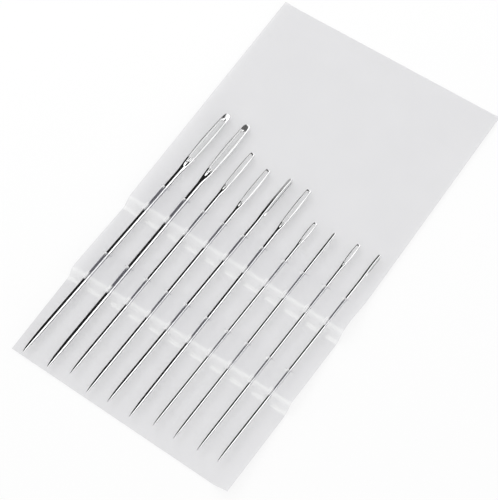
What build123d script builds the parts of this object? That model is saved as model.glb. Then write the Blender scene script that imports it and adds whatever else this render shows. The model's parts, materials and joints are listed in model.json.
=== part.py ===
from build123d import *
from math import cos, pi, radians, sin
import os

# Ten long-eye yarn needles carried in one clear plastic film.
# The film steps up over the needles twice and down under them again, so every
# needle runs over it at the eye, under it at two bridges, and over it at the point.
# Millimetres. X is across the film, +Y runs towards the eyes, +Z is up.
# The origin is on the table, under the middle of the film.

# Film
film_width = 60.0
film_length = 107.4
film_thickness = 0.2
left_margin = 2.5
right_margin = 2.8

# Places along the film, measured from its lower edge
lower_valley = 20.8
lower_crest = 22.7
lower_slit = 30.0
lower_foot = 36.0
upper_valley = 41.5
upper_crest = 43.7
upper_slit = 50.8
upper_foot = 57.0

# How far the two long edges stand up from the table
curled_corner_lift = 2.3
far_corner_lift = 0.4
left_crest_lift = 1.55
right_foot_lift = 0.45

# Running clearances of a needle
bore_clearance = 0.05
eye_clearance = 0.22

# Large needles
large_length = 74.1
large_shaft = 1.5
large_eye_width = 2.3
large_eye_depth = 1.35
large_slot_length = 11.9
large_slot_width = 0.8
large_end_wall = 2.3
large_neck = 5.0
large_taper = 9.0
large_groove = 3.2

# Medium needles
medium_length = 66.9
medium_shaft = 1.08
medium_eye_width = 1.62
medium_eye_depth = 1.05
medium_slot_length = 9.2
medium_slot_width = 0.48
medium_end_wall = 0.8
medium_neck = 3.4
medium_taper = 7.5
medium_groove = 2.2

# Small needles
small_length = 59.6
small_shaft = 0.83
small_eye_width = 1.3
small_eye_depth = 0.82
small_slot_length = 4.4
small_slot_width = 0.32
small_end_wall = 0.75
small_neck = 2.6
small_taper = 6.5
small_groove = 1.7

# Shape of every needle, as shares of its own sizes
nose_radius_share = 0.34
nose_reach_share = 0.04
shoulder_radius_share = 0.95
shoulder_reach_share = 0.35
groove_depth_share = 0.3
crown_width_share = 0.62
crown_depth_share = 0.8
crown_length_share = 0.55
swell_width_share = 0.55
crown_round_share = 0.88
neck_steps = 4
slot_steps = 6
cutter_overrun = 1.0

# Point of each needle as shares of the film's width and length, from its left and lower
# edges, with its lean to the right towards the eye and the turn of its eye about its own
# length, both in degrees
needle_place_shares = {
    "large_needle_1": ("large", 0.0508, 0.0046, 2.92, 21.0),
    "large_needle_2": ("large", 0.1643, 0.0061, 1.96, 11.0),
    "medium_needle_1": ("medium", 0.2524, 0.0224, 2.15, 10.0),
    "medium_needle_2": ("medium", 0.3478, 0.0078, 1.96, 9.0),
    "medium_needle_3": ("medium", 0.4350, 0.0164, 2.49, 72.0),
    "medium_needle_4": ("medium", 0.5367, 0.0159, 1.55, 11.0),
    "small_needle_1": ("small", 0.6285, 0.0278, 2.12, 12.0),
    "small_needle_2": ("small", 0.7195, 0.0298, 1.80, 96.0),
    "small_needle_3": ("small", 0.8172, 0.0362, 2.02, 9.0),
    "small_needle_4": ("small", 0.9031, 0.0402, 2.26, 75.0),
}

needle_sizes = {
    "large": dict(
        length=large_length,
        radius=large_shaft / 2,
        eye_width=large_eye_width,
        eye_depth=large_eye_depth,
        slot_length=large_slot_length,
        slot_width=large_slot_width,
        end_wall=large_end_wall,
        neck=large_neck,
        taper=large_taper,
        groove=large_groove,
    ),
    "medium": dict(
        length=medium_length,
        radius=medium_shaft / 2,
        eye_width=medium_eye_width,
        eye_depth=medium_eye_depth,
        slot_length=medium_slot_length,
        slot_width=medium_slot_width,
        end_wall=medium_end_wall,
        neck=medium_neck,
        taper=medium_taper,
        groove=medium_groove,
    ),
    "small": dict(
        length=small_length,
        radius=small_shaft / 2,
        eye_width=small_eye_width,
        eye_depth=small_eye_depth,
        slot_length=small_slot_length,
        slot_width=small_slot_width,
        end_wall=small_end_wall,
        neck=small_neck,
        taper=small_taper,
        groove=small_groove,
    ),
}


def eye_half_height(size, turn):
    """Half the height of an eye that is turned about the needle's own length."""
    flat = size["eye_width"] - size["eye_depth"]
    return (flat * abs(sin(radians(turn))) + size["eye_depth"]) / 2


def highest_eye():
    """The tallest half height of all the eyes as they lie."""
    heights = [
        eye_half_height(needle_sizes[kind], turn)
        for kind, across, low, lean, turn in needle_place_shares.values()
    ]
    return max(heights)


needle_height = film_thickness + eye_clearance + highest_eye()
crest_lift = needle_height + large_shaft / 2
slit_lift = needle_height - film_thickness / 2


def along(place):
    """A place measured from the film's lower edge, in the part's own Y."""
    return place - film_length / 2


def between(place, low, high):
    """The lift at a place on the straight line between two (place, lift) points."""
    share = (place - low[0]) / (high[0] - low[0])
    return low[1] + share * (high[1] - low[1])


film_stations = [
    0,
    lower_valley,
    lower_crest,
    lower_slit,
    lower_foot,
    upper_valley,
    upper_crest,
    upper_slit,
    upper_foot,
    film_length,
]


def middle_lifts():
    """Height of the film's underside at each station, where the needles lie."""
    return [0, 0, crest_lift, slit_lift, 0, 0, crest_lift, slit_lift, 0, 0]


def left_lifts():
    """The same along the left edge: straight between its creases."""
    valley = (upper_valley, 0)
    crest = (lower_crest, crest_lift)
    rise = (upper_crest, left_crest_lift)
    corner = (film_length, far_corner_lift)
    return [
        0,
        0,
        crest_lift,
        between(lower_slit, crest, valley),
        between(lower_foot, crest, valley),
        0,
        left_crest_lift,
        between(upper_slit, rise, corner),
        between(upper_foot, rise, corner),
        far_corner_lift,
    ]


def right_lifts():
    """The same along the right edge, whose lower corner curls up."""
    valley = (upper_valley, 0)
    crest = (lower_crest, crest_lift)
    return [
        curled_corner_lift,
        0,
        crest_lift,
        between(lower_slit, crest, valley),
        between(lower_foot, crest, valley),
        0,
        crest_lift,
        slit_lift,
        right_foot_lift,
        far_corner_lift,
    ]


def film_section(x, lifts):
    """The film's closed outline in the upright plane at x."""
    under = [(x, along(place), lift) for place, lift in zip(film_stations, lifts)]
    over = [(x, y, z + film_thickness) for x, y, z in reversed(under)]
    return Polyline(*under, *over, close=True)


def film_sheet():
    """A creased sheet: even between the margins, each margin ruled out to its own edge."""
    inner_left = -film_width / 2 + left_margin
    inner_right = film_width / 2 - right_margin
    middle = make_face(film_section(inner_left, middle_lifts()))
    sheet = extrude(middle, amount=inner_right - inner_left, dir=(1, 0, 0))
    left = loft(
        [
            make_face(film_section(-film_width / 2, left_lifts())),
            make_face(film_section(inner_left, middle_lifts())),
        ],
        ruled=True,
    )
    right = loft(
        [
            make_face(film_section(inner_right, middle_lifts())),
            make_face(film_section(film_width / 2, right_lifts())),
        ],
        ruled=True,
    )
    return sheet + left + right


def needle_frame(place):
    """Where a needle's point, length and turned eye lie in the film."""
    kind, across, low, lean, turn = place
    point = Location(((across - 1 / 2) * film_width, along(low * film_length), needle_height))
    return point * Rotation(0, 0, -lean) * Rotation(0, turn, 0)


def rod(place, radius):
    """A straight round rod along a needle's line, as long as the film and no longer."""
    blank = extrude(Plane.XZ * Circle(radius), amount=-film_length)
    return needle_frame(place) * blank


def prism(points):
    """An upright outline of (place, height) points, carried right across the film."""
    outline = [(-film_width / 2, along(place), height) for place, height in points]
    face = make_face(Polyline(*outline, close=True))
    return extrude(face, amount=film_width, dir=(1, 0, 0))


def bridge_zone():
    """The space over the film between each crest and its slit."""
    top = crest_lift + large_shaft
    lower = prism(
        [
            (lower_crest, crest_lift),
            (lower_slit, slit_lift),
            (lower_slit, top),
            (lower_crest, top),
        ]
    )
    upper = prism(
        [
            (upper_crest, crest_lift),
            (upper_slit, slit_lift),
            (upper_slit, top),
            (upper_crest, top),
        ]
    )
    return lower + upper


def trough_zone():
    """The space under the film between each slit and the foot of its slope."""
    lower = prism(
        [
            (lower_slit, slit_lift + film_thickness),
            (lower_foot, film_thickness),
            (lower_foot, 0),
            (lower_slit, 0),
        ]
    )
    upper = prism(
        [
            (upper_slit, slit_lift + film_thickness),
            (upper_foot, film_thickness),
            (upper_foot, 0),
            (upper_slit, 0),
        ]
    )
    return lower + upper


def make_film():
    """The sheet with a hole for each needle, arched over it and dipped under it."""
    sheet = film_sheet()
    zone = bridge_zone() + trough_zone()
    shells = []
    for place in needle_place_shares.values():
        hole = needle_sizes[place[0]]["radius"] + bore_clearance
        bore = rod(place, hole)
        sheet = sheet - bore
        shells.append((rod(place, hole + film_thickness) - bore) & zone)
    for shell in shells:
        sheet = sheet + shell
    return sheet


def shaft_blank(size):
    """The round shaft, turned from the point through its long taper to the neck."""
    radius = size["radius"]
    taper = size["taper"]
    neck_start = eye_start(size)
    nose = Bezier(
        (0, 0),
        (nose_radius_share * radius, nose_reach_share * taper),
        (shoulder_radius_share * radius, shoulder_reach_share * taper),
        (radius, taper),
    )
    side = Polyline((radius, taper), (radius, neck_start), (0, neck_start), (0, 0))
    return revolve(make_face(nose + side), axis=Axis.Y)


def eye_start(size):
    """Distance from the point to where the shaft starts to widen."""
    return size["length"] - size["end_wall"] - size["slot_length"] - size["neck"]


def eye_section(distance, width, depth):
    """A flat oval across the needle at a distance from its point."""
    return Plane((0, distance, 0), x_dir=(1, 0, 0), z_dir=(0, 1, 0)) * Ellipse(width / 2, depth / 2)


def eased(low, high, share):
    """A value on its way from low to high, slow at both ends."""
    return low + (high - low) * (1 - cos(pi * share)) / 2


def head_sections(size):
    """Ovals along the head: out of the round neck, wide along the slot, in to the crown."""
    round_neck = 2 * size["radius"]
    width = size["eye_width"]
    depth = size["eye_depth"]
    shoulder = round_neck + swell_width_share * (width - round_neck)
    start = eye_start(size)
    slot_start = start + size["neck"]
    slot_end = slot_start + size["slot_length"]
    sections = []
    for step in range(neck_steps):
        share = step / neck_steps
        sections.append(
            eye_section(
                start + share * size["neck"],
                eased(round_neck, shoulder, share),
                eased(round_neck, depth, share),
            )
        )
    for step in range(slot_steps + 1):
        share = step / slot_steps
        bulge = (width - shoulder) * sin(pi * share)
        sections.append(eye_section(slot_start + share * size["slot_length"], shoulder + bulge, depth))
    crown_width = crown_width_share * shoulder
    crown_depth = crown_depth_share * depth
    rise = size["end_wall"] * (1 - crown_length_share)
    sections.append(eye_section(slot_end + rise, crown_width, crown_depth))
    return sections


def eye_blank(size):
    """The flattened head, closed by a crown with a rounded rim."""
    head = loft(head_sections(size), ruled=True)
    rise = crown_length_share * size["end_wall"]
    crown = extrude(head.faces().sort_by(Axis.Y)[-1], amount=rise)
    rim = crown.faces().sort_by(Axis.Y)[-1].edges()
    thinnest = crown_depth_share * size["eye_depth"] / 2
    return head + fillet(rim, min(rise, thinnest) * crown_round_share)


def slot_cutter(size):
    """The long slot with round ends, right through the flat of the eye."""
    start = eye_start(size) + size["neck"]
    middle = start + size["slot_length"] / 2
    outline = Rot(0, 0, 90) * SlotOverall(size["slot_length"], size["slot_width"])
    reach = size["eye_depth"] + cutter_overrun
    return Pos(0, middle, 0) * extrude(outline, amount=reach / 2, both=True)


def groove_cutter(size, side):
    """A shallow gutter that leads thread from the shaft into the slot, on one face."""
    radius = size["slot_width"] / 2
    depth = groove_depth_share * size["eye_depth"]
    slot_start = eye_start(size) + size["neck"]
    start = slot_start - size["groove"] + radius
    height = side * (size["eye_depth"] / 2 - depth + radius)
    reach = size["groove"]
    gutter = extrude(Plane((0, start, height), z_dir=(0, 1, 0)) * Circle(radius), amount=reach)
    return gutter + Pos(0, start, height) * Sphere(radius)


def make_needle(place):
    """One needle, placed and turned as it lies in the film."""
    size = needle_sizes[place[0]]
    body = shaft_blank(size) + eye_blank(size)
    body = body - slot_cutter(size)
    for side in (-1, 1):
        body = body - groove_cutter(size, side)
    return needle_frame(place) * body


def write(shape, name):
    """Write one named piece."""
    shape.label = name
    export_step(shape, f"parts/{name}.step")


os.makedirs("parts", exist_ok=True)
write(make_film(), "film_card")
for name, place in needle_place_shares.items():
    write(make_needle(place), name)
print(f"needle height {needle_height:.3f}, crest {crest_lift + film_thickness:.3f}")
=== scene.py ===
import json
import math

import bmesh
import bpy
import numpy as np
from mathutils import Matrix, Vector


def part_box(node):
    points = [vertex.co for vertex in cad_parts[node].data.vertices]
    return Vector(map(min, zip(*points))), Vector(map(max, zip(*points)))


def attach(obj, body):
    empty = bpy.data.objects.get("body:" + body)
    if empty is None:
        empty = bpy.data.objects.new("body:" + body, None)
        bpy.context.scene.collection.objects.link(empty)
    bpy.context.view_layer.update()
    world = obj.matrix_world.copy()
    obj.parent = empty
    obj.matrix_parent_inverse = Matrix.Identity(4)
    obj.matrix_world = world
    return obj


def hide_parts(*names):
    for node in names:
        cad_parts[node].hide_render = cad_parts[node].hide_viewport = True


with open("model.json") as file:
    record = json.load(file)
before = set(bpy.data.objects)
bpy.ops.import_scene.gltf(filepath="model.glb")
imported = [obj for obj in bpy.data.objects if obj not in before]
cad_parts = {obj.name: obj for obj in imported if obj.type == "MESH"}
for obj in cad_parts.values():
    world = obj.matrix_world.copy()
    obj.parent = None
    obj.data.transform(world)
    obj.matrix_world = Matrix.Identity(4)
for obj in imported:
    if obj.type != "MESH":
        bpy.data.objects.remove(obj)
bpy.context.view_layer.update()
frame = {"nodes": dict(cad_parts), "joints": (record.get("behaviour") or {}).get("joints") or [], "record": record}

# A film card of ten long-eye needles. Lengths are millimetres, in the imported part's frame,
# and become metres as each mesh is made. X runs across the film, +Y towards the eyes.
MM = 0.001

# Camera, as recovered from the film's corners and creases and the needles' ends
camera_place = (113.73, -113.01, 344.02)
camera_aim = (0.58, -4.69, 0.0)
camera_side = (0.8117, 0.5779, -0.0850)
camera_lens = 120.22
camera_sensor = 36.0

# Film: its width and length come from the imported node
film_low, film_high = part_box("film_card")
film_width = (film_high.x - film_low.x) / MM
film_length = (film_high.y - film_low.y) / MM
film_thickness = 0.2
corner_overhang = 1.0

# Places along the film, from its lower edge
lower_valley = 20.8
lower_crest = 22.7
lower_slit = 30.0
lower_foot = 36.0
upper_valley = 41.5
upper_crest = 43.7
upper_slit = 50.8
upper_foot = 57.0
plain_start = 66.0
lower_fold_drift = 0.92
upper_fold_drift = 0.6
lower_drift_start = 8.0
upper_drift_start = 36.5
drift_end_gap = 1.0
margin_start = 1.5
right_swell_gap = 3.5
right_foot_gap = 4.0
tongue_reach = 1.0
tongue_top = 0.7

# Rows and columns of the film's grid: how far the fine ones reach, and their steps
near_end = 6.0
crease_reach = 1.0
crest_reach = 0.8
slit_reach = 0.5
edge_strip = 0.08
slit_side_step = 0.12
crease_step = 0.15
slit_step = 0.16
trough_step = 0.4
bridge_step = 0.45
foot_step = 0.9
end_step = 1.2
margin_step = 1.7
plain_step = 2.6
left_columns = 7
between_columns = 5
right_columns = 8
side_steps = np.array([0.0, 0.12, 0.24, 0.36, 0.48, 0.6, 0.74, 0.9, 1.1, 1.35, 1.65, 2.0])

# Lifts of the film's underside off the table
crest_lift = 2.015
slit_lift = 1.165
left_crest_lift = 1.55
right_swell_lift = 2.1
right_foot_lift = 0.45
far_corner_lift = 0.4
curled_corner_lift = 2.3
sag = 0.22

# How the film lies about a needle
bore_clearance = 0.05
hug_round = 0.16
slit_half = 1.4
hold_half = 0.85
crease_round = 0.22
sag_start = 2.5
sag_gap = 1.2

# How white the film is drawn where it is stretched. These marks are partly real stress whitening and partly
# painted highlight: the crest lines and valley bands stand for light caught by the folds, the tongue for the
# bright reflection on the ramp over each needle, and the lip of each slit for its edge-lit highlight.
crest_white_and_glint = 0.3
left_line_share = 0.8
line_width = 0.34
lip_width = 0.5
valley_white_and_highlight = 0.33
ramp_white = 0.08
margin_white_and_highlight_share = 0.9
tongue_white_and_reflection = 0.85
lip_painted_highlight = 1.0

# Where each mark of whitening and painted highlight starts and ends, from its crest, its valley or the needle's
# middle, and over what length it fades
mark_fade = 0.3
long_mark_fade = 0.4
band_below = 0.75
band_above = 0.2
band_right_start = 1.15
band_left_end = 0.4
ramp_end = 0.3
tongue_half = 0.35
tongue_side_fade = 0.55
tongue_right = -0.1
tongue_right_fade = 0.25

# How dense the film looks: its own haze, what full whitening and painted highlight adds, and the painted shade
# added on the bridges for the needles' shadows beneath them, less at the right. Its tint is white from a small
# share of whitening and highlight on.
haze_low = 0.111
haze_high = 0.123
white_and_highlight_density = 0.8
white_and_highlight_power = 3.0
aslant_power = 5.0
bridge_painted_shade = 0.026
right_shade_loss = 0.55
bridge_shade_rise = 0.8
bridge_shade_past = 0.5
bridge_shade_fade = 2.5
film_tint = (0.39, 0.385, 0.44)
white_and_highlight_tint = (0.93, 0.935, 0.94)
tint_full_at = 0.3
film_ior = 1.48
film_roughness = (0.3, 0.4)
haze_scale = 90.0
film_grain_scale = 1500.0
film_grain_height = 0.02

# Needles of each size
needle_height = 1.265
sizes = {
    "large": dict(
        length=74.1, shaft=1.5, taper=9.0, neck=5.0, eye_width=2.3, eye_depth=1.35,
        slot_length=11.9, slot_width=0.8, end_wall=2.3, groove=3.2,
        eye_power=4.2, face_share=0.74, side_satin=0.0,
    ),
    "medium": dict(
        length=66.9, shaft=1.08, taper=7.5, neck=3.4, eye_width=1.62, eye_depth=1.05,
        slot_length=9.2, slot_width=0.48, end_wall=0.8, groove=2.2,
        eye_power=3.0, face_share=0.63, side_satin=0.18,
    ),
    "small": dict(
        length=59.6, shaft=0.83, taper=6.5, neck=2.6, eye_width=1.3, eye_depth=0.82,
        slot_length=4.4, slot_width=0.32, end_wall=0.75, groove=1.7,
        eye_power=2.6, face_share=0.55, side_satin=0.04,
    ),
}
nose_shares = ((0.0, 0.0), (0.52, 0.02), (0.96, 0.32), (1.0, 1.0))
swell_share = 0.55
crown_power = 2.6
slot_edge_share = 0.4
groove_depth_share = 0.3
gutter_power = 1.5

# How polished the steel is. The eye is ground pale on its faces, up to their share of its
# width, and on the sides of an eye that stands on edge, whose normal rises less than
# side_on_below.
face_satin = 0.35
face_fade = 0.12
stamp_fade = 0.6
crown_polish = 0.85
crown_fade = 0.15
side_on_below = 0.6
side_on_range = 0.3
satin_metal_loss = 2.0
steel_shades = ((0.94, 0.94, 0.945), (0.985, 0.985, 0.985))
steel_roughness = (0.03, 0.07)
steel_grain = (90.0, 6.0, 1.0)
steel_grain_height = 0.01
grain_strength = 0.04

# Rings of a needle's grid, and its columns from the middle out to the side
nose_rings = 20
nose_crowding = 1.3
shaft_rings = 14
neck_rings = 22
slot_end_rings = 9
slot_rings = 22
crown_rings = 16
quarter_columns = 17
slot_wall_levels = 5


def needle_line(name):
    """Where a needle lies, read from the record: slot centre, direction and face normal."""
    record = frame["record"]
    eye = next(m for m in record["mounts"] if m["name"] == name + "_eye")
    draw = next(j for j in frame["joints"] if j["child"] == name)
    centre = np.array(eye["pos_m"]) / MM
    along = np.array(draw["axis"], float)
    along /= np.linalg.norm(along)
    face = np.array(eye["axis"], float)
    face -= along * (face @ along)
    face /= np.linalg.norm(face)
    return centre, along, face


needle_names = sorted(
    (n for n in frame["nodes"] if n.endswith(tuple("1234"))),
    key=lambda n: needle_line(n)[0][0],
)
needle_lines = {n: needle_line(n) for n in needle_names}


def needle_size(name):
    return sizes[name.split("_")[0]]


def link(name, mesh, material, smooth=True):
    """A new object at the origin with that mesh and material."""
    obj = bpy.data.objects.new(name, mesh)
    bpy.context.scene.collection.objects.link(obj)
    mesh.materials.append(material)
    mesh.polygons.foreach_set("use_smooth", [smooth] * len(mesh.polygons))
    return obj


def grid_quads(rows, columns, first=0, flip=False):
    """Quads over a grid of rows by columns whose points are numbered row by row."""
    row, column = np.meshgrid(np.arange(rows - 1), np.arange(columns - 1), indexing="ij")
    corner = first + (row * columns + column).ravel()
    quads = np.stack([corner, corner + 1, corner + columns + 1, corner + columns], axis=1)
    return quads[:, ::-1] if flip else quads


def make_mesh(name, points, quads, attributes=None, uv=None, weld=1e-5):
    """A mesh in metres from points in millimetres. Points closer than the weld are merged.
    An attribute is one number per point, and uv is a pair per point."""
    mesh = bpy.data.meshes.new(name)
    mesh.from_pydata((points * MM).tolist(), [], quads.tolist())
    for key, values in (attributes or {}).items():
        layer = mesh.attributes.new(key, "FLOAT", "POINT")
        layer.data.foreach_set("value", np.asarray(values, np.float32))
    if uv is not None:
        layer = mesh.uv_layers.new(name="Length")
        corners = np.zeros(len(mesh.loops), np.int32)
        mesh.loops.foreach_get("vertex_index", corners)
        layer.data.foreach_set("uv", uv[corners].astype(np.float32).ravel())
    work = bmesh.new()
    work.from_mesh(mesh)
    bmesh.ops.remove_doubles(work, verts=work.verts, dist=weld)
    work.to_mesh(mesh)
    work.free()
    mesh.validate()
    mesh.update()
    return mesh


# Film shape


def hinge(t):
    """Zero before 0 and t after it, turning over a short round."""
    return 0.5 * (t + np.sqrt(t * t + crease_round * crease_round))


def folded(v, corners):
    """A line through (place, lift) corners, straight between them and rounded at each one:
    the first slope, plus each change of slope times a hinge at its corner."""
    places = np.array([c[0] for c in corners], float)
    lifts = np.array([c[1] for c in corners], float)
    slopes = np.diff(lifts) / np.diff(places)
    value = lifts[0] + slopes[0] * (v - places[0])
    for place, change in zip(places[1:-1], np.diff(slopes)):
        value = value + change * hinge(v - place)
    return value


def eased(t):
    """0 to 1, level at both ends."""
    t = np.clip(t, 0, 1)
    return t * t * (3 - 2 * t)


def soft_max(a, b, reach):
    """The higher of two heights, rounded where they cross over that reach."""
    return 0.5 * (a + b + np.sqrt((a - b) ** 2 + reach * reach)) - 0.25 * reach


middle_corners = [
    (0, 0), (lower_valley, 0), (lower_crest, crest_lift), (lower_slit, slit_lift),
    (lower_foot, 0), (upper_valley, 0), (upper_crest, crest_lift), (upper_slit, slit_lift),
    (upper_foot, 0), (film_length, 0),
]
left_corners = [
    (0, 0), (lower_valley, 0), (lower_crest, crest_lift), (upper_valley, 0),
    (upper_crest, left_crest_lift), (film_length, far_corner_lift),
]
right_corners = [
    (0, curled_corner_lift), (lower_valley, 0), (lower_crest, crest_lift), (upper_valley, 0),
    (upper_crest, crest_lift), (upper_crest + right_swell_gap, right_swell_lift),
    (upper_foot - right_foot_gap, right_foot_lift), (film_length, far_corner_lift),
]
cuts = (lower_crest - tongue_reach, lower_slit, upper_crest - tongue_reach, upper_slit)


def needle_x(name, v):
    """A needle's middle across the film at a place along it, held past the eyes."""
    centre, along, face = needle_lines[name]
    y = np.minimum(v, plain_start) - film_length / 2
    return centre[0] + (y - centre[1]) * along[0] / along[1]


def row_places():
    """The film's rows as strips between its cuts, close together at creases and slits."""
    ends = [(edge_strip, edge_strip), (near_end, end_step)]
    folds = (
        (lower_valley, cuts[0], lower_crest, lower_slit, lower_foot, margin_step),
        (upper_valley, cuts[2], upper_crest, upper_slit, upper_foot, foot_step),
    )
    for valley, cut, crest, slit, foot, plain in folds:
        ends += [
            (valley - crease_reach, plain), (cut, crease_step),
            (crest + crest_reach, crease_step), (slit - slit_reach, bridge_step),
            (slit, slit_side_step), (slit + crease_reach, slit_step),
            (foot + crease_reach, trough_step),
        ]
    ends += [
        (plain_start, end_step), (film_length - edge_strip, plain_step),
        (film_length, edge_strip),
    ]
    strips = [[0.0]]
    for high, step in ends:
        low = strips[-1][-1]
        count = max(1, int(round((high - low) / step)))
        strips[-1].extend(low + (high - low) * np.arange(1, count + 1) / count)
        if high in cuts:
            strips.append([high])
    return [np.array(strip) for strip in strips]


beside_needle = np.concatenate([-side_steps[:0:-1], side_steps])


def film_columns(v):
    """X of every column in a row: fixed offsets about each needle, evenly between them."""
    centres = [needle_x(n, v) for n in needle_names]
    edge = film_width / 2
    reach = side_steps[-1]
    left = np.linspace(edge_strip - edge, centres[0] - reach, left_columns)
    columns = [-edge] + list(left[:-1])
    for centre, following in zip(centres, centres[1:] + [None]):
        columns.extend(centre + beside_needle)
        start = centre + reach
        if following is None:
            columns.extend(np.linspace(start, edge - edge_strip, right_columns)[1:])
        else:
            columns.extend(np.linspace(start, following - reach, between_columns)[1:-1])
    return np.array(columns + [edge])


def fold_drift(v, across):
    """How much further up the card each fold lies: the lower one most at the right edge, as
    the root of the share across, and the upper one most at the left."""
    drift = np.zeros_like(v)
    lower = lower_fold_drift * np.sqrt(across)
    upper = upper_fold_drift * (1 - across)
    for start, valley, crest, slit, amount in (
        (lower_drift_start, lower_valley, lower_crest, lower_slit, lower),
        (upper_drift_start, upper_valley, upper_crest, upper_slit, upper),
    ):
        rising = eased((v - start) / (valley - start))
        falling = 1 - eased((v - crest) / (slit - drift_end_gap - crest))
        drift += amount * rising * falling
    return drift


def film_strip(places, over):
    """One strip of the film's underside: rows of points, how white each is drawn with stretching and painted
    highlight, and the painted shade added to its haze.
    Height is the folded middle line, blended to each long edge's own line, lifted over the
    needles in a bridge or dipped under them in a trough."""
    v = np.repeat(places[:, None], len(film_columns(0)), axis=1)
    x = np.stack([film_columns(place) for place in places])
    middle = folded(v, middle_corners)
    first = needle_x(needle_names[0], v) - margin_start
    last = needle_x(needle_names[-1], v) + margin_start
    edge = film_width / 2
    left_share = np.clip((first - x) / (first + edge), 0, 1)
    right_share = np.clip((x - last) / (edge - last), 0, 1)
    left = folded(v, left_corners) - middle
    right = folded(v, right_corners) - middle
    shape = middle + left * eased(left_share) + right * eased(right_share)
    inside = (left_share == 0) & (right_share == 0)
    beside = np.full_like(x, np.inf)
    for name in needle_names:
        radius = needle_size(name)["shaft"] / 2 + bore_clearance
        offset = x - needle_x(name, v)
        beside = np.where(np.abs(offset) < np.abs(beside), offset, beside)
        shoulder = radius * math.sqrt(0.5)
        arch = np.where(
            np.abs(offset) < shoulder,
            np.sqrt(np.maximum(radius**2 - offset**2, 0)),
            2 * shoulder - np.abs(offset),
        )
        held = 1 - eased((np.abs(offset) - hold_half) / (slit_half - hold_half))
        if over:
            roof = needle_height + arch
            moved = soft_max(shape, roof, hug_round) - shape
        else:
            floor = needle_height - arch - film_thickness
            moved = -(soft_max(-shape, -floor, hug_round) + shape)
        shape = shape + moved * held
    if over:
        loose = eased((v - places[0]) / sag_start) * eased((places[-1] - v) / sag_start)
        shape = shape - sag * inside * loose * np.clip(np.abs(beside) - sag_gap, 0, 1)
    shape = np.maximum(shape, 0.0)
    beyond = eased((v - plain_start) / (film_length - plain_start))
    across = np.clip(x / film_width + 0.5, 0, 1)
    y = v - film_length / 2 + corner_overhang * beyond * across + fold_drift(v, across)
    points = np.stack([x, y, shape], axis=-1)
    among = (1 - eased(left_share)) * (1 - eased(right_share))
    return points, whitening_and_painted_highlight(v, across, beside, inside, over), bridge_shade(v, across) * among


def bell(t, width):
    """1 at zero, falling away over the width."""
    return np.exp(-((t / width) ** 2))


def whitening_and_painted_highlight(v, across, beside, inside, over):
    """How white the film is drawn, partly real whiteness from stretching and partly painted highlight. A thin
    bright line, whiter film with a painted glint, runs along each crest, stronger to the right, and a broad broken
    one, whiter film with a painted highlight, in each valley that starts right of every needle. The tongue that
    goes down over a needle, and the lip of each slit, are drawn thin and nearly opaque over the needle's dark
    side: a painted reflection on the tongue and a painted edge-lit highlight on the lip. Beside is how far right
    of the nearest needle's middle a point lies."""
    white = np.zeros_like(v)
    near = 1 - eased((np.abs(beside) - tongue_half) / tongue_side_fade)
    left_half = 1 - eased((beside - tongue_right) / tongue_right_fade)
    started = eased((beside - band_right_start) / long_mark_fade)
    started = started + eased((-band_left_end - beside) / mark_fade)
    started = np.where(inside, started, margin_white_and_highlight_share)
    line_share = left_line_share + (1 - left_line_share) * across
    for valley, crest in ((lower_valley, lower_crest), (upper_valley, upper_crest)):
        # Crest line: film whitened by the stretch, with a painted glint along the fold.
        white += crest_white_and_glint * line_share * bell(v - crest, line_width)
        # Valley band: whiter film with a painted highlight where the fold catches the light.
        band = eased((v - valley + band_below) / mark_fade)
        band = band * (1 - eased((v - valley - band_above) / mark_fade))
        white += valley_white_and_highlight * band * started
        ramp = eased((v - valley) / long_mark_fade)
        ramp = ramp * (1 - eased((v - crest + ramp_end) / long_mark_fade))
        white += ramp_white * ramp
        # Tongue over the needle's dark side: whiter, denser film with a painted reflection of the bright room.
        if over:
            tongue = eased((v - crest + tongue_reach) / mark_fade)
            tongue = tongue * (1 - eased((v - crest - tongue_top) / long_mark_fade))
            white = np.maximum(white, tongue_white_and_reflection * tongue * near * left_half)
    if over:
        # Lip of each slit over the needle's dark side: a painted edge-lit highlight.
        for slit in (lower_slit, upper_slit):
            lip = bell(v - slit, lip_width) * near * left_half
            white = np.maximum(white, lip_painted_highlight * lip)
    return np.clip(white, 0, 1)


def bridge_shade(v, across):
    """Painted shade for the needles' shadows under the bridges: a denser haze of the film between a crest and its
    slits, less to the right where the needles are thinner.
    """
    haze = np.zeros_like(v)
    for crest, slit in ((lower_crest, lower_slit), (upper_crest, upper_slit)):
        rising = eased((v - crest) / bridge_shade_rise)
        haze += rising * (1 - eased((v - slit - bridge_shade_past) / bridge_shade_fade))
    return haze * bridge_painted_shade * (1 - right_shade_loss * across)


def make_film(material):
    """The whole film: strips welded where they meet between the slits, then given a wall."""
    points, quads, white, painted_shade, first = [], [], [], [], 0
    for number, places in enumerate(row_places()):
        strip, white_and_highlight, haze = film_strip(places, over=number % 2 == 1)
        rows, columns = strip.shape[:2]
        points.append(strip.reshape(-1, 3))
        white.append(white_and_highlight.ravel())
        painted_shade.append(haze.ravel())
        quads.append(grid_quads(rows, columns, first, flip=False))
        first += rows * columns
    # Whiteness with painted highlights, and painted shade over the bridges, are kept per point.
    mesh = make_mesh(
        "film", np.concatenate(points), np.concatenate(quads),
        {"white_and_highlight": np.concatenate(white), "painted_shade": np.concatenate(painted_shade)}, weld=2e-5,
    )
    film = link("plastic_film", mesh, material)
    wall = film.modifiers.new("Wall", "SOLIDIFY")
    wall.thickness = film_thickness * MM
    wall.offset = 1.0
    wall.use_even_offset = True
    return film


# Needle shape


def nose_rows(size):
    """Radius and place of each ring of the point: a cubic curve through four corners."""
    t = np.linspace(0, 1, nose_rings)[:, None] ** nose_crowding
    a, b, c, d = [np.array(corner) for corner in nose_shares]
    curve = a * (1 - t) ** 3 + 3 * b * t * (1 - t) ** 2 + 3 * c * t**2 * (1 - t) + d * t**3
    return curve[:, 0] * size["shaft"] / 2, curve[:, 1] * size["taper"]


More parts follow.
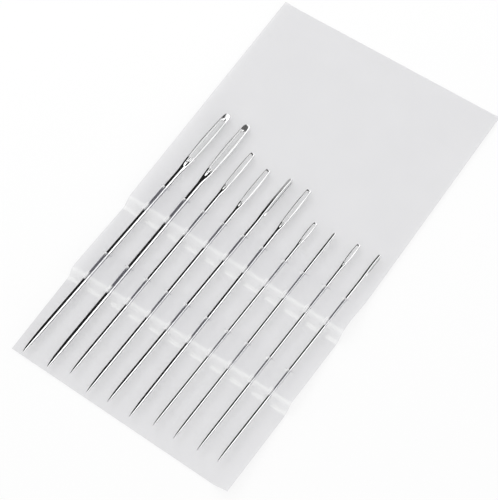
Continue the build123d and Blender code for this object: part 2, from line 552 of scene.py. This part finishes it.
def needle_rows(size):
    """Each ring's place, half width, half depth and the slot's half width there."""
    radius = size["shaft"] / 2
    half_depth = size["eye_depth"] / 2
    shoulder = radius + swell_share * (size["eye_width"] / 2 - radius)
    slot_start = size["length"] - size["end_wall"] - size["slot_length"]
    slot_end = slot_start + size["slot_length"]
    neck_start = slot_start - size["neck"]
    slot_radius = size["slot_width"] / 2
    nose_radius, nose_place = nose_rows(size)
    rows = [(y, r, r, 0.0) for y, r in zip(nose_place, nose_radius)]
    for y in np.linspace(size["taper"], neck_start, shaft_rings)[1:]:
        rows.append((y, radius, radius, 0.0))
    for share in np.linspace(0, 1, neck_rings)[1:]:
        y = neck_start + share * size["neck"]
        ease = (1 - math.cos(math.pi * share)) / 2
        half_width = radius + (shoulder - radius) * ease
        rows.append((y, half_width, radius + (half_depth - radius) * ease, 0.0))
    turn = np.linspace(0, math.pi / 2, slot_end_rings)
    ends = slot_radius * (1 - np.cos(turn))
    straight = np.linspace(slot_start + slot_radius, slot_end - slot_radius, slot_rings)
    slot_places = np.concatenate([slot_start + ends[1:], straight[1:-1], (slot_end - ends)[::-1]])
    for y in slot_places:
        share = (y - slot_start) / size["slot_length"]
        bulge = (size["eye_width"] / 2 - shoulder) * math.sin(math.pi * share)
        inset = min(y - slot_start, slot_end - y, slot_radius)
        gap = math.sqrt(max(slot_radius**2 - (slot_radius - inset) ** 2, 0.0))
        rows.append((y, shoulder + bulge, half_depth, gap))
    for angle in np.linspace(0, math.pi / 2, crown_rings)[1:]:
        close = max(math.cos(angle), 0.0) ** (2 / crown_power)
        y = slot_end + size["end_wall"] * math.sin(angle) ** (2 / crown_power)
        rows.append((y, shoulder * close, half_depth * close, 0.0))
    return np.array(rows), slot_start, slot_end


def needle_quarter(size, side_on):
    """A quarter of the needle's skin, from the slot or middle out to the side, with the rows
    that are beside the slot, and how pale its steel is ground.
    Height is an oval's, less a round along the slot's rim, less the thread groove."""
    rows, slot_start, slot_end = needle_rows(size)
    y, half_width, half_depth, gap = (rows[:, i : i + 1] for i in range(4))
    share = (1 - np.cos(np.linspace(0, math.pi, quarter_columns))) / 2
    x = gap + (half_width - gap) * share
    outward = x / np.maximum(half_width, 1e-9)
    power = 2 + (size["eye_power"] - 2) * eased((y - slot_start + size["neck"]) / size["neck"])
    z = half_depth * np.clip(1 - outward**power, 0, 1) ** (1 / power)
    slot_radius = size["slot_width"] / 2
    past_end = np.maximum(np.maximum(slot_start + slot_radius - y, y - slot_end + slot_radius), 0)
    edge = slot_edge_share * slot_radius
    from_slot = np.clip(np.hypot(x, past_end) - slot_radius, 0, edge)
    z = z - (edge - np.sqrt(np.maximum(edge**2 - (edge - from_slot) ** 2, 0))) * (z > edge)
    depth = groove_depth_share * size["eye_depth"]
    run_in = eased((y - slot_start + size["groove"]) / size["groove"])
    run_in = run_in * (y < slot_start + slot_radius)
    gutter = np.clip(1 - (x / slot_radius) ** 2, 0, 1) ** gutter_power
    z = z - depth * run_in * gutter * (gap == 0)
    stamped = eased((y - slot_start + stamp_fade) / stamp_fade)
    stamped = stamped * (1 - crown_polish * eased((y - slot_end) / crown_fade))
    face = (1 - eased((outward - size["face_share"]) / face_fade)) * eased(from_slot / edge)
    worn = size["side_satin"] * side_on * eased((y - slot_start) / size["slot_length"])
    satin = face_satin * stamped * face + worn * (1 - face)
    return x, np.broadcast_to(y, x.shape), np.maximum(z, 0), gap[:, 0] > 0, satin


def needle_surface(name):
    """All the needle's points and quads: four mirrored quarters and the slot's two walls."""
    size = needle_size(name)
    upright = abs(needle_lines[name][2][2])
    side_on = eased((side_on_below - upright) / side_on_range)
    x, y, z, in_slot, ground = needle_quarter(size, side_on)
    rows, columns = x.shape
    points, quads, round_share, satin, first = [], [], [], [], 0
    for side in (1, -1):
        for face in (1, -1):
            points.append(np.stack([x * side, y, z * face], axis=-1).reshape(-1, 3))
            quads.append(grid_quads(rows, columns, first, flip=side * face > 0))
            around = np.broadcast_to(np.linspace(0, 0.25, columns), x.shape)
            round_share.append((around * side * face + 0.5 * (face < 0)).ravel())
            satin.append(ground.ravel())
            first += rows * columns
    slot = np.flatnonzero(in_slot)
    slot = np.arange(slot[0] - 1, slot[-1] + 2)
    levels = np.linspace(1, -1, slot_wall_levels)
    for side in (1, -1):
        wall_x = np.repeat(x[slot, :1] * side, len(levels), axis=1)
        wall_y = np.repeat(y[slot, :1], len(levels), axis=1)
        wall_z = z[slot, :1] * levels
        points.append(np.stack([wall_x, wall_y, wall_z], axis=-1).reshape(-1, 3))
        quads.append(grid_quads(len(slot), len(levels), first, flip=side < 0))
        round_share.append(np.zeros(wall_x.size))
        satin.append(np.zeros(wall_x.size))
        first += wall_x.size
    points = np.concatenate(points)
    uv = np.stack([np.concatenate(round_share), points[:, 1] / size["length"]], axis=1)
    return points, np.concatenate(quads), uv, np.concatenate(satin)


def make_needle(name, material):
    """One needle's mesh, turned and carried to where the record has its eye."""
    size = needle_size(name)
    points, quads, uv, satin = needle_surface(name)
    centre, along, face = needle_lines[name]
    middle = size["length"] - size["end_wall"] - size["slot_length"] / 2
    across = np.cross(along, face)
    turned = points[:, :1] * across + (points[:, 1:2] - middle) * along + points[:, 2:] * face
    mesh = make_mesh(name + "_skin", turned + centre, quads, {"satin": satin}, uv, weld=1e-7)
    work = bmesh.new()
    work.from_mesh(mesh)
    bmesh.ops.recalc_face_normals(work, faces=work.faces)
    work.to_mesh(mesh)
    work.free()
    return link(name.replace("needle", "steel_needle"), mesh, material)


# Materials


def material_tree(name):
    """A new material, its node tree and its principled shader."""
    material = bpy.data.materials.new(name)
    material.use_nodes = True
    tree = material.node_tree
    shader = tree.nodes["Principled BSDF"]
    return material, tree, shader


def node(tree, kind, **values):
    """A new node with its properties and its named sockets set."""
    made = tree.nodes.new(kind)
    for key, value in values.items():
        if hasattr(made, key):
            setattr(made, key, value)
        else:
            made.inputs[key.replace("_", " ")].default_value = value
    return made


def marks_group():
    """Fine uneven marks, for any surface: a noise between a low and a high value.
    Its height is the same noise, for a bump."""
    group = bpy.data.node_groups.new("Fine marks", "ShaderNodeTree")
    sockets = group.interface.new_socket
    sockets(name="Vector", in_out="INPUT", socket_type="NodeSocketVector")
    for name in ("Scale", "Low", "High"):
        sockets(name=name, in_out="INPUT", socket_type="NodeSocketFloat")
    for name in ("Value", "Height"):
        sockets(name=name, in_out="OUTPUT", socket_type="NodeSocketFloat")
    entry = group.nodes.new("NodeGroupInput")
    leave = group.nodes.new("NodeGroupOutput")
    noise = node(group, "ShaderNodeTexNoise", Detail=4.0, Roughness=0.6)
    spread = node(group, "ShaderNodeMapRange")
    spread.inputs["From Min"].default_value = 0.3
    spread.inputs["From Max"].default_value = 0.7
    link_up = group.links.new
    link_up(entry.outputs["Vector"], noise.inputs["Vector"])
    link_up(entry.outputs["Scale"], noise.inputs["Scale"])
    link_up(noise.outputs["Fac"], spread.inputs["Value"])
    link_up(entry.outputs["Low"], spread.inputs["To Min"])
    link_up(entry.outputs["High"], spread.inputs["To Max"])
    link_up(spread.outputs["Result"], leave.inputs["Value"])
    link_up(noise.outputs["Fac"], leave.inputs["Height"])
    return group


def place_marks(tree, vector, scale, low, high):
    """The marks group in a material, reading that vector, with its own values."""
    marks = node(tree, "ShaderNodeGroup", node_tree=fine_marks)
    tree.links.new(vector, marks.inputs["Vector"])
    marks.inputs["Scale"].default_value = scale
    marks.inputs["Low"].default_value = low
    marks.inputs["High"].default_value = high
    return marks


def grain_bump(tree, height):
    """A faint bump of that height in millimetres."""
    return node(tree, "ShaderNodeBump", Strength=grain_strength, Distance=height * MM)


def film_material():
    """Milky translucent film: mostly see-through, whiter and denser where it is stretched and where highlights
    are painted on its creases, tongues and slit lips, denser where painted shade for the needles' shadows is added
    over the bridges, and denser again where it is seen aslant through more of its thickness."""
    material, tree, shader = material_tree("Milky plastic film")
    link_up = tree.links.new
    # Stress whitening with painted highlights, and painted shade over the bridges, are read from the film's
    # points.
    white = node(tree, "ShaderNodeAttribute", attribute_name="white_and_highlight")
    place = node(tree, "ShaderNodeTexCoord").outputs["Object"]
    haze = place_marks(tree, place, haze_scale, haze_low, haze_high)
    fine = place_marks(tree, place, film_grain_scale, *film_roughness)
    # The painted shade over the bridges, added to the film's own haze.
    painted_shade = node(tree, "ShaderNodeAttribute", attribute_name="painted_shade")
    haze_and_shade = node(tree, "ShaderNodeMath", operation="ADD")
    density = node(tree, "ShaderNodeMath", operation="MULTIPLY_ADD")
    density.inputs[1].default_value = white_and_highlight_density
    dense = node(tree, "ShaderNodeMath", operation="POWER")
    dense.inputs[1].default_value = white_and_highlight_power
    share = node(tree, "ShaderNodeMapRange")
    share.inputs["From Max"].default_value = tint_full_at
    tint = node(tree, "ShaderNodeMix", data_type="RGBA")
    tint.inputs["A"].default_value = (*film_tint, 1)
    tint.inputs["B"].default_value = (*white_and_highlight_tint, 1)
    aslant = node(tree, "ShaderNodeLayerWeight", Blend=0.5)
    skin = node(tree, "ShaderNodeNewGeometry")
    depth = node(tree, "ShaderNodeMath", operation="POWER")
    depth.inputs[1].default_value = aslant_power
    outer = node(tree, "ShaderNodeMath", operation="SUBTRACT")
    outer.use_clamp = True
    closed = node(tree, "ShaderNodeMix", data_type="FLOAT")
    closed.inputs["B"].default_value = 1.0
    bump = grain_bump(tree, film_grain_height)
    link_up(white.outputs["Fac"], dense.inputs[0])
    link_up(dense.outputs["Value"], density.inputs[0])
    link_up(haze.outputs["Value"], haze_and_shade.inputs[0])
    link_up(painted_shade.outputs["Fac"], haze_and_shade.inputs[1])
    link_up(haze_and_shade.outputs["Value"], density.inputs[2])
    link_up(white.outputs["Fac"], share.inputs["Value"])
    link_up(share.outputs["Result"], tint.inputs["Factor"])
    link_up(tint.outputs["Result"], shader.inputs["Base Color"])
    link_up(aslant.outputs["Facing"], depth.inputs[0])
    link_up(depth.outputs["Value"], outer.inputs[0])
    link_up(skin.outputs["Backfacing"], outer.inputs[1])
    link_up(outer.outputs["Value"], closed.inputs["Factor"])
    link_up(density.outputs["Value"], closed.inputs["A"])
    link_up(closed.outputs["Result"], shader.inputs["Alpha"])
    link_up(fine.outputs["Value"], shader.inputs["Roughness"])
    link_up(fine.outputs["Height"], bump.inputs["Height"])
    link_up(bump.outputs["Normal"], shader.inputs["Normal"])
    shader.inputs["IOR"].default_value = film_ior
    return material


def steel_material():
    """Polished nickel-plated steel with a faint grain along the needle, paler and duller
    where the eye is stamped and ground."""
    material, tree, shader = material_tree("Polished needle steel")
    link_up = tree.links.new
    lengthwise = node(tree, "ShaderNodeUVMap", uv_map="Length")
    stretch = node(tree, "ShaderNodeMapping")
    stretch.inputs["Scale"].default_value = steel_grain
    tint = node(tree, "ShaderNodeMix", data_type="RGBA")
    for key, shade in zip("AB", steel_shades):
        tint.inputs[key].default_value = (*shade, 1)
    bump = grain_bump(tree, steel_grain_height)
    link_up(lengthwise.outputs["UV"], stretch.inputs["Vector"])
    grain = place_marks(tree, stretch.outputs["Vector"], 1.0, *steel_roughness)
    link_up(grain.outputs["Height"], tint.inputs["Factor"])
    link_up(grain.outputs["Height"], bump.inputs["Height"])
    ground = node(tree, "ShaderNodeAttribute", attribute_name="satin")
    rough = node(tree, "ShaderNodeMath", operation="ADD")
    bare = node(tree, "ShaderNodeMath", operation="MULTIPLY_ADD", use_clamp=True)
    bare.inputs[1].default_value = -satin_metal_loss
    bare.inputs[2].default_value = 1.0
    link_up(ground.outputs["Fac"], bare.inputs[0])
    link_up(bare.outputs["Value"], shader.inputs["Metallic"])
    link_up(grain.outputs["Value"], rough.inputs[0])
    link_up(ground.outputs["Fac"], rough.inputs[1])
    link_up(rough.outputs["Value"], shader.inputs["Roughness"])
    link_up(tint.outputs["Result"], shader.inputs["Base Color"])
    link_up(bump.outputs["Normal"], shader.inputs["Normal"])
    return material


def plain_material(name, shade):
    """A matt grey of that shade with no gloss, for what isn't part of the object."""
    material, _, shader = material_tree(name)
    shader.inputs["Base Color"].default_value = (shade, shade, shade, 1)
    shader.inputs["Roughness"].default_value = matt_roughness
    shader.inputs["Specular IOR Level"].default_value = 0.0
    return material


# Stage


def flat_sheet(name, corners, material):
    """A flat four-cornered sheet in the scene, not part of the object."""
    mesh = bpy.data.meshes.new(name)
    mesh.from_pydata([tuple(c * MM for c in corner) for corner in corners], [], [(0, 1, 2, 3)])
    sheet = link(name, mesh, material, smooth=False)
    return sheet


def table_material():
    """A matt white top that glows a little where it is looked at, so the object's shadows
    on it stay as light as a lit table leaves them."""
    material = plain_material("Table white", table_colour * (1 - table_glow))
    tree = material.node_tree
    shader = tree.nodes["Principled BSDF"]
    shader.inputs["Emission Color"].default_value = (1, 1, 1, 1)
    glow = node(tree, "ShaderNodeMath", operation="MULTIPLY")
    glow.inputs[1].default_value = table_glow
    tree.links.new(seen_rays(tree), glow.inputs[0])
    tree.links.new(glow.outputs["Value"], shader.inputs["Emission Strength"])
    return material


def seen_rays(tree):
    """1 where a camera, a polish or a glass looks, and 0 for the light on the object."""
    rays = node(tree, "ShaderNodeLightPath")
    seen = node(tree, "ShaderNodeMath", operation="MAXIMUM")
    seen_through = node(tree, "ShaderNodeMath", operation="MAXIMUM")
    tree.links.new(rays.outputs["Is Camera Ray"], seen.inputs[0])
    tree.links.new(rays.outputs["Is Glossy Ray"], seen.inputs[1])
    tree.links.new(seen.outputs["Value"], seen_through.inputs[0])
    tree.links.new(rays.outputs["Is Transmission Ray"], seen_through.inputs[1])
    return seen_through.outputs["Value"]


def make_floor():
    """A plain pale table top that goes on past every view."""
    half, low = table_half, -table_gap
    corners = [(-half, -half, low), (half, -half, low), (half, half, low), (-half, half, low)]
    return flat_sheet("table_top", corners, table_material())


def make_card(name, start, end, far_end, material):
    """A curved card over the table, between two angles off the vertical, positive to the
    right. Past card_bend its right edge slants to the far end's angle. Only polished
    surfaces see it."""
    rows = []
    for y, edge in ((-card_half, end), (card_bend, end), (card_half, far_end)):
        steps = np.radians(np.linspace(start, edge, card_steps))
        x, z = card_radius * np.sin(steps), card_radius * np.cos(steps)
        rows.append(np.stack([x, np.full_like(x, y), z], axis=1))
    points = np.concatenate(rows)
    mesh = make_mesh(name, points, grid_quads(len(rows), card_steps))
    card = link(name, mesh, material)
    for ray in ("camera", "diffuse", "transmission", "shadow", "volume_scatter"):
        setattr(card, "visible_" + ray, False)
    return card


def bright_material(name, strength):
    """A plain glowing white."""
    material, _, shader = material_tree(name)
    shader.inputs["Base Color"].default_value = (0, 0, 0, 1)
    shader.inputs["Emission Color"].default_value = (1, 1, 1, 1)
    shader.inputs["Emission Strength"].default_value = strength
    return material


# The table, and the cards that curve over it, by their angles off the vertical
matt_roughness = 0.9
table_half = 2500.0
table_gap = 0.04
table_colour = 0.98
table_glow = 0.5
card_radius = 900.0
card_half = 1600.0
card_bend = 350.0
card_steps = 24
dark_card_start = -88.0
dark_card_edge = 20.0
dark_card_far_edge = -25.0
dark_card_colour = 0.028
bright_card_end = 62.0
bright_card_strength = 1.65
grey_card_start = 66.0
grey_card_end = 89.0
grey_card_colour = 0.05

# The room and the lamp
world_strength = 0.88
key_power = 1.6
key_place = (-520.0, 420.0, 620.0)
key_span = 420.0


def make_world():
    """An even white room, full white where a camera, a polish or a glass looks at it."""
    world = bpy.data.worlds.new("Studio room")
    bpy.context.scene.world = world
    world.use_nodes = True
    tree = world.node_tree
    background = tree.nodes["Background"]
    background.inputs["Color"].default_value = (1, 1, 1, 1)
    strength = node(tree, "ShaderNodeMapRange")
    strength.inputs["To Min"].default_value = world_strength
    strength.inputs["To Max"].default_value = 1.0
    tree.links.new(seen_rays(tree), strength.inputs["Value"])
    tree.links.new(strength.outputs["Result"], background.inputs["Strength"])


def make_key_light():
    """A large soft lamp from the back left."""
    lamp = bpy.data.lights.new("Soft key", "AREA")
    lamp.shape = "SQUARE"
    lamp.size = key_span * MM
    lamp.energy = key_power
    obj = bpy.data.objects.new("Soft key", lamp)
    bpy.context.scene.collection.objects.link(obj)
    obj.location = Vector(key_place) * MM
    obj.rotation_mode = "QUATERNION"
    obj.rotation_quaternion = (-obj.location).to_track_quat("-Z", "Y")
    obj.visible_glossy = False


def make_camera():
    """The camera at the photograph's viewing angle."""
    data = bpy.data.cameras.new("Camera")
    data.sensor_fit = "HORIZONTAL"
    data.sensor_width = camera_sensor
    data.lens = camera_lens
    data.clip_start, data.clip_end = 0.01, 20.0
    camera = bpy.data.objects.new("Camera", data)
    bpy.context.scene.collection.objects.link(camera)
    place = Vector(camera_place) * MM
    back = (place - Vector(camera_aim) * MM).normalized()
    side = Vector(camera_side)
    side = (side - back * side.dot(back)).normalized()
    turn = Matrix((side, back.cross(side), back)).transposed().to_4x4()
    camera.matrix_world = Matrix.Translation(place) @ turn
    bpy.context.scene.camera = camera


make_camera()
make_world()
make_key_light()
make_floor()
dark = plain_material("Dark card", dark_card_colour)
bright = bright_material("Bright card", bright_card_strength)
grey = plain_material("Grey card", grey_card_colour)
make_card("dark_card", dark_card_start, dark_card_edge, dark_card_far_edge, dark)
make_card("bright_card", dark_card_edge, bright_card_end, bright_card_end, bright)
make_card("grey_card", grey_card_start, grey_card_end, grey_card_end, grey)

fine_marks = marks_group()
film = make_film(film_material())
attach(film, "film_card")
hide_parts("film_card")

steel = steel_material()
for name in needle_names:
    needle = make_needle(name, steel)
    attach(needle, name)
    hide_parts(name)

bpy.context.scene.view_settings.view_transform = "Standard"
